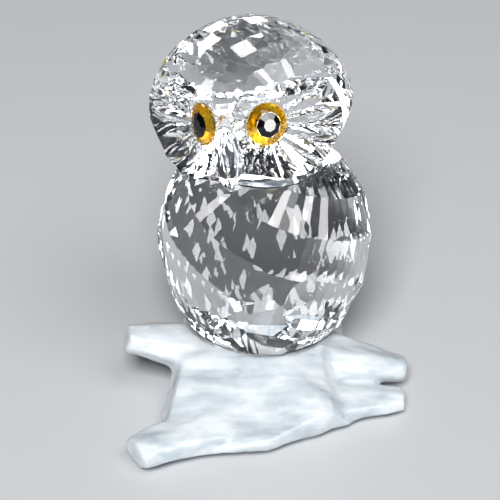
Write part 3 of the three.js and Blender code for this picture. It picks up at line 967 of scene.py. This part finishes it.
# name, azimuth and elevation in degrees from the front, distance and size in metres, watts
SOFT_LIGHTS = (
    ("Key softbox", -7, 48, 1.0, (0.36, 0.36), 11.0),
    ("Fill softbox", 50, 60, 1.0, (0.5, 0.5), 3.0),
)
# narrow strips that light only the polished pieces, so that the table stays even
STRIP_LIGHTS = (
    ("Strip front left", -38, 62, 0.38, (0.04, 0.2), 0.3),
    ("Strip front right", 32, 58, 0.38, (0.04, 0.2), 0.3),
    ("Strip top left", -100, 66, 0.38, (0.05, 0.24), 0.4),
    ("Strip top right", 95, 70, 0.38, (0.05, 0.24), 0.4),
    ("Strip left", -82, 22, 0.38, (0.05, 0.24), 0.4),
    ("Strip right", 75, 20, 0.38, (0.05, 0.24), 0.4),
    ("Strip crown near", 170, 84, 0.38, (0.22, 0.03), 0.4),
    ("Strip crown middle", 186, 70, 0.38, (0.26, 0.035), 0.4),
    ("Strip crown far", 176, 56, 0.38, (0.24, 0.03), 0.4),
    ("Strip back left", -150, 40, 0.38, (0.05, 0.24), 0.4),
    ("Strip back right", 150, 38, 0.38, (0.05, 0.24), 0.4),
    ("Strip back low", 180, 12, 0.38, (0.24, 0.04), 0.4),
    ("Eye glint", 50, 3.3, 0.38, (0.055, 0.055), 0.25),
)
# two fences of thin strips: name, posts, elevation, distance, size and power of one post
FENCES = (
    ("Fence high", 15, 44, 0.38, (0.018, 0.24), 0.2),
    ("Fence low", 14, 10, 0.38, (0.018, 0.12), 0.1),
)
FENCE_STEP = 12  # degrees from one post to the next
# the tall facets of the body mirror the posts one by one
FENCE_LIGHTS = tuple(
    (f"{name} {post}", FENCE_STEP * (post - (posts - 1) / 2), *rest)
    for name, posts, *rest in FENCES
    for post in range(posts)
)

LIGHT_AIM = Vector((0, 0, 0.03))  # the middle of the owl


def hang(name, azimuth, elevation, distance, size, power):
    """Hangs one rectangular light that looks at the middle of the owl."""
    lamp = bpy.data.lights.new(name, "AREA")
    lamp.shape = "RECTANGLE"
    lamp.size, lamp.size_y = size
    lamp.energy = power
    turn, lift = math.radians(azimuth), math.radians(elevation)
    level = Vector((math.sin(turn), -math.cos(turn), 0))
    toward = level * math.cos(lift) + Vector((0, 0, math.sin(lift)))
    hung = bpy.data.objects.new(name, lamp)
    hung.location = LIGHT_AIM + toward * distance
    hung.rotation_euler = toward.to_track_quat("Z", "Y").to_euler()
    bpy.context.scene.collection.objects.link(hung)
    return hung


# ---------------------------------------------------------------- operators


class OWL_OT_body(bpy.types.Operator):
    """Turn the body and grind its leaning rows of tall facets"""

    bl_idname = "owl.body"
    bl_label = "Cut the body"

    def execute(self, context):
        scene = context.scene
        piece = object_of("faceted_body", cut_body(scene.owl_body), MM)
        crease(piece, degrees=2.5)
        glass = shared_material(crystal_material, scene.owl_colours)
        set_piece(piece, "clear_crystal", [glass], "body")
        return {"FINISHED"}


class OWL_OT_head(bpy.types.Operator):
    """Grind the head, flute its facial discs and drill it for the eyes and the beak"""

    bl_idname = "owl.head"
    bl_label = "Cut the head"

    def execute(self, context):
        scene = context.scene
        piece = cut_head(scene.owl_head, scene.owl_stones)
        crease(piece, degrees=9)
        glass = shared_material(crystal_material, scene.owl_colours)
        set_piece(piece, "clear_crystal", [glass], "head")
        return {"FINISHED"}


class OWL_OT_beak(bpy.types.Operator):
    """Flute the beak and grind the flat on its back"""

    bl_idname = "owl.beak"
    bl_label = "Cut the beak"

    def execute(self, context):
        scene = context.scene
        cut = beak_blank(scene.owl_head, scene.owl_stones)
        grind_at(cut, (0, mm(scene.owl_stones.beak_flat - scene.owl_head.radius), 0), (0, 1, 0))
        piece = object_of("fluted_beak", cut)
        piece.data.transform(Matrix.Scale(MM, 4) @ head_frame(scene.owl_head))
        crease(piece, degrees=20)
        glass = shared_material(crystal_material, scene.owl_colours)
        set_piece(piece, "clear_crystal", [glass], "beak")
        return {"FINISHED"}


class OWL_OT_eyes(bpy.types.Operator):
    """Turn the amber stones with their foiled backs, and the black centres that sit on them"""

    bl_idname = "owl.eyes"
    bl_label = "Set the eyes"

    def execute(self, context):
        scene = context.scene
        stones, colours = scene.owl_stones, scene.owl_colours
        amber = shared_material(amber_material, colours)
        foil = shared_material(foil_material, colours)
        black = shared_material(black_material, colours)
        glue = shared_material(adhesive_material, colours)
        pupil = mm(stones.pupil_radius)
        crown = mm(stones.crown)
        for side, mirror in (("right", Matrix.Identity(4)), ("left", MIRROR)):
            place = head_frame(scene.owl_head) @ mirror @ eye_frame(scene.owl_head) @ mirror
            stone = turned_stone(
                side + "_amber_stone",
                place,
                [amber, foil],
                **{
                    "Facets": stones.facets,
                    "Radius": mm(stones.radius),
                    "Girdle": mm(stones.girdle),
                    "Crown": crown,
                    "Table radius": pupil,
                    "Pavilion": mm(stones.pavilion),
                    "Culet radius": mm(stones.culet),
                },
            )
            set_piece(stone, "amber_stone", [amber], side + "_eye_stone")
            centre = turned_stone(
                side + "_black_centre",
                place @ Matrix.Translation((0, 0, crown + 2 * FILM_CLEARANCE)),
                [black],
                **{
                    "Facets": stones.pupil_facets,
                    "Radius": pupil,
                    "Girdle": 2 * FILM_CLEARANCE,
                    "Crown": mm(stones.pupil_height),
                    "Table radius": pupil / 2,
                    "Pavilion": FILM_CLEARANCE,
                    "Culet radius": pupil,
                },
            )
            set_piece(centre, "black_stone", [black], side + "_eye_pupil")
            depth = mm(stones.pavilion + stones.setting_gap + stones.film)
            dot = film(
                side + "_eye_film",
                place @ Matrix.Translation((0, 0, -depth)),
                mm(stones.culet),
                mm(stones.film),
                glue,
            )
            set_piece(dot, "clear_adhesive", [glue], side + "_eye_bond")
        return {"FINISHED"}


class OWL_OT_films(bpy.types.Operator):
    """Spread the clear films that hold the body, the head and the beak"""

    bl_idname = "owl.films"
    bl_label = "Spread the films"

    def execute(self, context):
        scene = context.scene
        stones, head = scene.owl_stones, scene.owl_head
        glue = shared_material(adhesive_material, scene.owl_colours)
        for node, name in (("seat_bond", "seat_film"), ("neck_bond", "neck_film")):
            low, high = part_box(node)
            place = Matrix.Translation((0, 0, mm(low.z)))
            disc = film(name, place, mm(high.x - low.x) / 2, mm(high.z - low.z), glue)
            set_piece(disc, "clear_adhesive", [glue], node)
        back = mm(stones.beak_flat - head.radius + stones.setting_gap)
        lift = mm(stones.beak_length) * BEAK_FILM["rise"] - mm(stones.beak_drop)
        width = mm(stones.beak_width) * BEAK_FILM["width"]
        length = mm(stones.beak_length) * BEAK_FILM["length"]
        squeeze = Matrix.Diagonal((width, length, 1, 1))
        place = head_frame(head) @ Matrix.Translation((0, back + mm(stones.film) / 2, lift))
        place = place @ Matrix.Rotation(math.pi / 2, 4, "X") @ squeeze
        disc = film("beak_film", place, 1.0, mm(stones.film), glue)
        set_piece(disc, "clear_adhesive", [glue], "beak_bond")
        return {"FINISHED"}


class OWL_OT_branch(bpy.types.Operator):
    """Hew and etch the frosted branch"""

    bl_idname = "owl.branch"
    bl_label = "Hew the branch"

    def execute(self, context):
        scene = context.scene
        frosted = shared_material(frosted_material, scene.owl_colours)
        piece = hewn_branch(scene.owl_branch, frosted)
        set_piece(piece, "frosted_crystal", [frosted], "branch_base")
        return {"FINISHED"}


class OWL_OT_stage(bpy.types.Operator):
    """Lay the floor, hang the lights and place the camera"""

    bl_idname = "owl.stage"
    bl_label = "Set the stage"

    def execute(self, context):
        scene = context.scene
        cut = bmesh.new()
        bmesh.ops.create_circle(cut, cap_ends=True, segments=TABLE_SIDES, radius=TABLE_RADIUS)
        floor = object_of("Table", cut)
        floor.data.materials.append(floor_material(scene.owl_colours))
        floor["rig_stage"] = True

        camera = bpy.data.objects.new("Camera", bpy.data.cameras.new("Camera"))
        camera.data.lens = CAMERA_LENS
        camera.data.clip_start = CAMERA_CLIP
        away = Vector((0, -math.cos(CAMERA_ELEVATION), math.sin(CAMERA_ELEVATION)))
        camera.location = CAMERA_AIM + away * CAMERA_DISTANCE
        camera.rotation_euler = away.to_track_quat("Z", "Y").to_euler()
        scene.collection.objects.link(camera)
        scene.camera = camera

        polished = bpy.data.collections.new("Polished pieces")
        gem = bpy.data.collections.new("Body alone")
        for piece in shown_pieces():
            if "frosted" not in piece.get("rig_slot", ""):
                polished.objects.link(piece)
            if piece.name == "faceted_body":
                gem.objects.link(piece)
        for lights, lit in ((SOFT_LIGHTS, None), (STRIP_LIGHTS, polished), (FENCE_LIGHTS, gem)):
            for light in lights:
                hang(*light).light_linking.receiver_collection = lit

        world = bpy.data.worlds.new("Studio")
        world.use_nodes = True
        world.node_tree.nodes["Background"].inputs["Color"].default_value = STUDIO_DARK
        scene.world = world
        scene.view_settings.view_transform = "Standard"
        # light passes many facets before it leaves the crystal, and its shadow stays plain and soft
        scene.cycles.max_bounces = 24
        scene.cycles.transmission_bounces = 20
        scene.cycles.glossy_bounces = 12
        scene.cycles.caustics_refractive = False
        scene.cycles.caustics_reflective = False
        return {"FINISHED"}


class OWL_PT_panel(bpy.types.Panel):
    """The pieces of the owl, in the order they are made"""

    bl_label = "Crystal owl"
    bl_idname = "OWL_PT_panel"
    bl_space_type = "VIEW_3D"
    bl_region_type = "UI"
    bl_category = "Crystal owl"

    def draw(self, context):
        for operator in OPERATORS:
            self.layout.operator(operator.bl_idname)
        for name, group in SETTINGS.items():
            box = self.layout.box()
            box.label(text=group.__doc__.split(":")[0])
            for setting in group.__annotations__:
                box.prop(getattr(context.scene, name), setting)


OPERATORS = (
    OWL_OT_body,
    OWL_OT_head,
    OWL_OT_beak,
    OWL_OT_eyes,
    OWL_OT_films,
    OWL_OT_branch,
    OWL_OT_stage,
)


def register():
    """Registers the settings, the operators and the panel."""
    for name, group in SETTINGS.items():
        bpy.utils.register_class(group)
        setattr(bpy.types.Scene, name, bpy.props.PointerProperty(type=group))
    for cls in (*OPERATORS, OWL_PT_panel):
        bpy.utils.register_class(cls)


def unregister():
    """Takes them away again."""
    for cls in (OWL_PT_panel, *reversed(OPERATORS)):
        bpy.utils.unregister_class(cls)
    for name, group in reversed(SETTINGS.items()):
        delattr(bpy.types.Scene, name)
        bpy.utils.unregister_class(group)


def main():
    """Makes the whole figurine and its stage."""
    register()
    bpy.ops.owl.body()
    bpy.ops.owl.head()
    bpy.ops.owl.beak()
    bpy.ops.owl.eyes()
    bpy.ops.owl.films()
    bpy.ops.owl.branch()
    bpy.ops.owl.stage()


if __name__ == "__main__":
    main()
